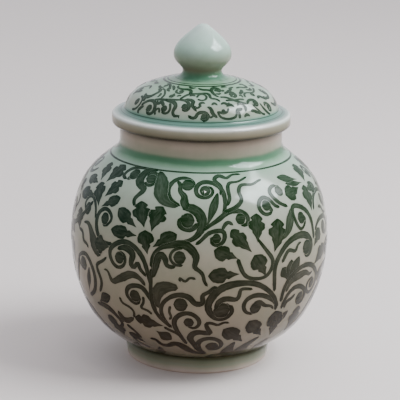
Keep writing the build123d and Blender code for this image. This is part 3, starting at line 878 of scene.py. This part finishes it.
# ---- painted scrolls of the lid ------------------------------------------------------
# The same scrolls in a finer brush round the dome, between two thin lines in the gutter and
# two bolder ones at the foot of the knob. Places run from the top of the rim to the knob.
lid_face = np.concatenate([gutter, dome[1:]])
flick = (0.8, 1.3, 0.7)
lid_scrolls = [
    # points from end to end, widths, and the bulb if it has one
    ([(-54, 10), (-50, 13), (-45, 14.2), (-40, 12.6), (-38.5, 9.5), (-40, 7.3), (-43, 6.9), (-45.8, 8)],
     (1.2, 1.1, 1), (-44, 9.8, 1.6)),
    ([(-44, 14.8), (-40, 15.6), (-35, 16), (-28, 16.5), (-22, 17), (-17, 17.5)], (1, 1.5, 0.8)),
    ([(-61, 17.6), (-56, 15.5), (-51, 16.5), (-48.5, 19), (-48, 22), (-51, 23.3), (-55, 23.6)],
     (1.2, 3.2, 2, 2.4, 0.9)),
    ([(-55.5, 16), (-55, 14.5), (-54, 12.5)], 1.3),
    ([(-50, 24.5), (-45, 23.8), (-40, 21.5), (-37.5, 19), (-38, 16.5)], 0.9),
    ([(-57, 29.5), (-50, 29.5), (-45, 28), (-41, 26), (-38.5, 25)], (0.8, 1.2, 0.8), (-52, 27.6, 1.1)),
    ([(-40, 15), (-37, 13), (-35.5, 14.3), (-33, 13.5), (-31, 12)], 1.1, (-30, 10.8, 1.5)),
    ([(-27, 14.4), (-25, 11.5), (-26, 9), (-29, 8.4), (-31.5, 9.5)], 1.0),
    ([(-33, 16), (-27, 15.5), (-23, 14.8), (-21, 12.8), (-22, 10), (-21.5, 8.5), (-19.5, 7.5), (-17, 7.8),
      (-16.5, 6.5)], (1, 2, 1.8, 1.2, 0.8)),
    ([(-20, 17), (-16, 17.2), (-12, 16), (-10, 13.5), (-11, 11.3), (-13, 10.8), (-15.5, 12)],
     1.0, (-13.7, 13.2, 1.3)),
    ([(-15, 18), (-10, 17.6), (-7.2, 16.6), (-7.6, 14.5), (-6, 12.5), (-3.5, 10.5)],
     (0.9, 1.8, 1.8, 1.2, 0.8)),
    ([(-20, 17.5), (-17, 20), (-14, 22), (-8, 23), (0, 23.5), (6, 23.5), (8, 21.5), (8.5, 19.5),
      (12, 18.8), (14.5, 18), (16, 16.3)], (1, 1.3, 1.5, 1.2, 0.8)),
    ([(-4.6, 19.5), (-3, 22), (0, 22.8), (3.4, 22), (4.5, 20), (2.6, 18), (-1, 17.7), (-4, 18.6)], 0.9),
    ([(-35, 30), (-32, 28), (-27, 27), (-20, 27), (-14, 26.5), (-12, 24.5), (-13, 22.5)],
     (0.9, 1.3, 1.7, 1.2)),
    ([(-30, 26.2), (-29, 24), (-27, 22.8), (-23, 22.6), (-20.5, 24.4)], 0.8, (-23.4, 24.6, 1.0)),
    ([(-29, 22), (-28.2, 20), (-29, 17.8)], (0.7, 1.5, 0.8)),
    ([(-5, 29), (-2, 28), (2, 27.3), (8, 27), (11, 26), (12, 24), (14, 21.5), (17, 20)],
     (0.9, 1.6, 1.5, 1.2, 0.8)),
    ([(11, 25.6), (12.5, 28), (16, 29.3), (20, 28.5), (21.5, 26.5), (19, 25.2), (16.5, 25.4)],
     1.2, (17, 26.6, 0.9)),
    ([(23, 25), (25, 25.8), (27, 26.7)], (0.7, 1.3, 0.7)),
    ([(29, 25.3), (33, 25.5), (35.5, 26), (37.5, 27.5), (41, 28), (45, 28.5)], (0.9, 1.4, 0.8)),
    ([(30, 24), (34, 22), (36, 24)], 0.8),
    ([(40.5, 21.3), (45, 22.3), (48, 23.5), (50.5, 24.8)], (0.9, 1.9, 0.9)),
    ([(43, 18), (46, 20.5), (50, 21.3), (54, 20.8), (60, 20.3), (66, 21.5), (72, 23)],
     0.9, (55, 19, 1.2)),
    ([(21, 17), (25, 17.2), (30, 17), (36, 17.2), (40, 16.5)], 0.9),
    ([(4, 13.3), (7, 12.5), (8, 10.5), (10, 8.5), (12, 7.5)], (0.8, 1.8, 0.9)),
    ([(12.5, 11), (14, 8), (18, 6.8), (23, 6.8), (26, 7.6), (27.5, 10), (28, 11.5)], 0.9),
    ([(13, 10.8), (16, 9.6), (20, 10.5), (21.5, 12.3)], 0.9, (17, 10.6, 1.0)),
    ([(28, 11.5), (31, 11), (33.5, 11.7)], (1, 1.5, 0.7)), ([(28.5, 11), (29.5, 8.5), (29, 6.3)], 1.2),
    ([(40, 9.3), (43, 9.5), (46, 8.5), (48, 8), (50, 7)], (1, 1.6, 0.8)),
    ([(45, 13), (46.5, 11), (49, 9), (52, 7), (55, 6.5)], 0.9),
    ([(54, 13), (55, 10), (57, 8), (60, 6.2), (62, 5.7)], (1, 1.4, 0.9)),
    ([(58, 10), (60, 12), (63, 11.5), (65.5, 9.5), (64.5, 7.5), (62, 7.3)], 1.0, (62, 9.5, 1.1)),
    ([(-10, 8.5), (-7, 7.2), (-4.5, 7.5), (-3, 9.3), (0, 10.3), (3, 10), (4.8, 8.4), (3.5, 6.4), (0, 6.2)],
     1.0, (1.6, 8, 1.2)),
    ([(5, 9.4), (7, 7.6), (9, 8.5), (11, 7.3)], 0.8),
    ([(-63, 15), (-58, 14), (-56, 11.5), (-57.5, 8.5), (-61, 7), (-64, 6.8)], 1.0, (-62, 11.3, 1.6)),
    ([(-50, 10.2), (-53, 8.8), (-54.5, 6.8), (-53, 5.8)], (0.8, 1.8, 0.9)),
    ([(-70, 17.5), (-76, 16.5), (-80, 14.5)], (1.4, 2.6, 1)),
    ([(-66, 21), (-72, 23), (-79, 21), (-82, 17), (-79, 13)], 1.0, (-77, 18.3, 1.2)),
    ([(66, 16), (70, 14), (76, 14.5), (80, 17), (78, 19.8), (74, 19.6)], 1.0, (75.6, 17.2, 1.2)),
    ([(70, 11), (76, 9), (82, 9.6), (86, 12.6)], (0.9, 1.7, 0.8)),
    ([(74, 26), (80, 24), (86, 25.5), (90, 28)], (0.8, 1.5, 0.8)),
    ([(-70, 27.5), (-78, 26.4), (-86, 27.5)], (0.8, 1.5, 0.8)),
    ([(-84, 10), (-88, 7.5), (-93, 7.2), (-96, 9.6), (-94, 12)], 1.0, (-91, 9.8, 1.2)),
    ([(24, 22.5), (28, 24), (33, 24), (35, 21.6), (33, 19.4), (29.5, 19.4)],
     (1, 1.2, 1), (30.5, 21.6, 1.0)),
    ([(17, 20), (23, 19.6), (28, 17.6), (34, 15.4), (40, 13.4)], (1, 1.4, 0.8)),
    ([(46, 26.5), (54, 27), (62, 25.4), (67, 26.5), (66, 29), (61, 28.8)], (0.9, 1.3, 0.9)),
    ([(56, 24), (62, 22.6), (67, 24.5)], (0.8, 1.6, 0.7)),
    ([(40, 13.4), (43, 15.4), (47, 15.8), (51, 14.2), (50, 12), (47, 12)], 0.9, (48.3, 13.6, 1.0)),
    ([(56, 15.4), (61, 16.6), (66, 14.2), (70, 14)], (0.9, 1.6, 0.8)),
    ([(35, 9.5), (36.5, 12), (35, 14)], (0.8, 1.4, 0.7)),
    ([(20, 13.2), (24, 14.2), (27, 12.6)], (0.8, 1.4, 0.7)),
    ([(-18, 30), (-12, 28.6), (-8, 29.4)], flick), ([(26, 29), (31, 29.6), (36, 29)], flick),
    ([(-62, 26.5), (-56, 25), (-50, 25.8)], (0.8, 1.4, 0.8)),
    ([(-44, 20.6), (-42, 18.6), (-43, 16.8)], flick),
    ([(-33, 24.5), (-37, 27.2), (-43, 29.4)], (0.8, 1.4, 0.8)),
    ([(-24, 19.4), (-22, 20.6), (-20, 20.2)], flick),
    ([(0, 13.4), (-1.6, 15), (0.6, 16), (3, 15.4)], flick),
    ([(8, 14.4), (11, 15.6), (13, 14.2)], (0.8, 1.2, 0.7)),
    ([(-33, 8), (-35, 10.5), (-37, 9), (-36, 6.8)], 0.9),
    ([(-6, 14), (-3.5, 12.6), (-1.5, 13.6), (-2.5, 15.4)], 0.9),
    ([(16, 14.6), (19, 15.6), (22, 14.8), (24, 16)], flick), ([(38, 19.6), (41, 20.4), (40, 18.2)], 0.8),
    ([(30, 13.2), (32.5, 14.6), (36, 14), (38, 15)], (0.8, 1.4, 0.7)),
    ([(33, 6.8), (36, 8), (38.5, 7)], flick), ([(-12, 20.6), (-9, 21.6), (-6, 20.8)], flick),
    ([(14, 23.6), (18, 23), (21, 23.8)], flick),
    ([(-26, 19.6), (-29, 20.6), (-31, 19.6), (-30, 18)], 0.8),
    ([(-44, 26.4), (-40, 24), (-36, 23)], flick),
]
lid_painting = painting_on(lid_face)
for turn in (0, 180):
    for points, widths, *ends in lid_scrolls:
        scroll(lid_painting, turned_by(turn, points), widths, *turned_by(turn, ends), ink=0.96)
for run, width, ink, ragged in (
    (2.6, 0.4, 0.6, 0.3), (4.9, 0.5, 0.7, 0.2), (31.2, 1.3, 1.0, 0.15), (33.2, 0.8, 0.95, 0.15),
):
    ring(lid_painting, run, width, ink, ragged)
finished(lid_painting, "painted_lid", "lid")

# ---- floor, light and camera ---------------------------------------------------------
# A plain pale table top in a pale room that is brighter behind the jar, to its right and
# overhead. A large window is on the right, and a small lamp hangs in front.
floor_mesh = bpy.data.meshes.new("floor")
sheet = bmesh.new()
bmesh.ops.create_grid(sheet, x_segments=1, y_segments=1, size=6.0)
sheet.to_mesh(floor_mesh)
sheet.free()
floor = bpy.data.objects.new("floor", floor_mesh)
bpy.context.scene.collection.objects.link(floor)
floor_finish = bpy.data.materials.new("floor")
floor_finish.use_nodes = True
floor_shader = floor_finish.node_tree.nodes["Principled BSDF"]
floor_shader.inputs["Base Color"].default_value = tint("e0d6d2")
floor_shader.inputs["Roughness"].default_value = 0.7
floor_mesh.materials.append(floor_finish)

world = bpy.data.worlds.new("room")
world.use_nodes = True
sky = world.node_tree
sky.nodes["Background"].inputs["Color"].default_value = (0.90, 0.91, 0.97, 1)
facing = add(sky, "ShaderNodeSeparateXYZ")
sky.links.new(add(sky, "ShaderNodeTexCoord").outputs["Generated"], facing.inputs[0])
brightness = 0.85
for axis, gain in (("Y", 0.45), ("X", 0.2), ("Z", 0.25)):
    brightness = worked_out(sky, "MULTIPLY_ADD", facing.outputs[axis], gain, brightness)
sky.links.new(brightness, sky.nodes["Background"].inputs["Strength"])
bpy.context.scene.world = world


def lamp(name, at, aim, width, height, power, colour=(1, 1, 1)):
    """A soft rectangular light at one point, turned towards another."""
    light = bpy.data.lights.new(name, "AREA")
    light.shape = "RECTANGLE"
    light.size = width
    light.size_y = height
    light.energy = power
    light.color = colour
    holder = bpy.data.objects.new(name, light)
    holder.location = at
    holder.rotation_mode = "QUATERNION"
    holder.rotation_quaternion = (Vector(aim) - Vector(at)).to_track_quat("-Z", "Y")
    bpy.context.scene.collection.objects.link(holder)
    return holder


window_at = (0.85, -0.08, 1.05)
window_aim = (0, 0, 0.09)
lamp("window", window_at, window_aim, 0.85, 0.6, 20)
# The glaze mirrors the bright sky in the window, which doesn't light the room as much.
glint = lamp("window_glint", window_at, window_aim, 0.8, 0.55, 240, (0.8, 0.93, 1))
glint.visible_diffuse = False
lamp("ceiling_lamp", (0.1, -0.55, 1.9), (0, 0, 0.1), 0.02, 0.02, 1.2, (1, 0.98, 0.95))

camera_at = Vector((0, -0.8652, 0.31005))
camera_aim = Vector((0.0001, 0.0008, 0.0829))
camera_roll = math.radians(1.1)
camera = bpy.data.objects.new("camera", bpy.data.cameras.new("camera"))
camera.data.lens = 153
camera.data.sensor_width = 36
camera.data.clip_end = 50
camera.location = camera_at
camera.rotation_mode = "QUATERNION"
level = (camera_aim - camera_at).to_track_quat("-Z", "Y")
camera.rotation_quaternion = level @ Quaternion((0, 0, 1), camera_roll)
bpy.context.scene.collection.objects.link(camera)
bpy.context.scene.camera = camera
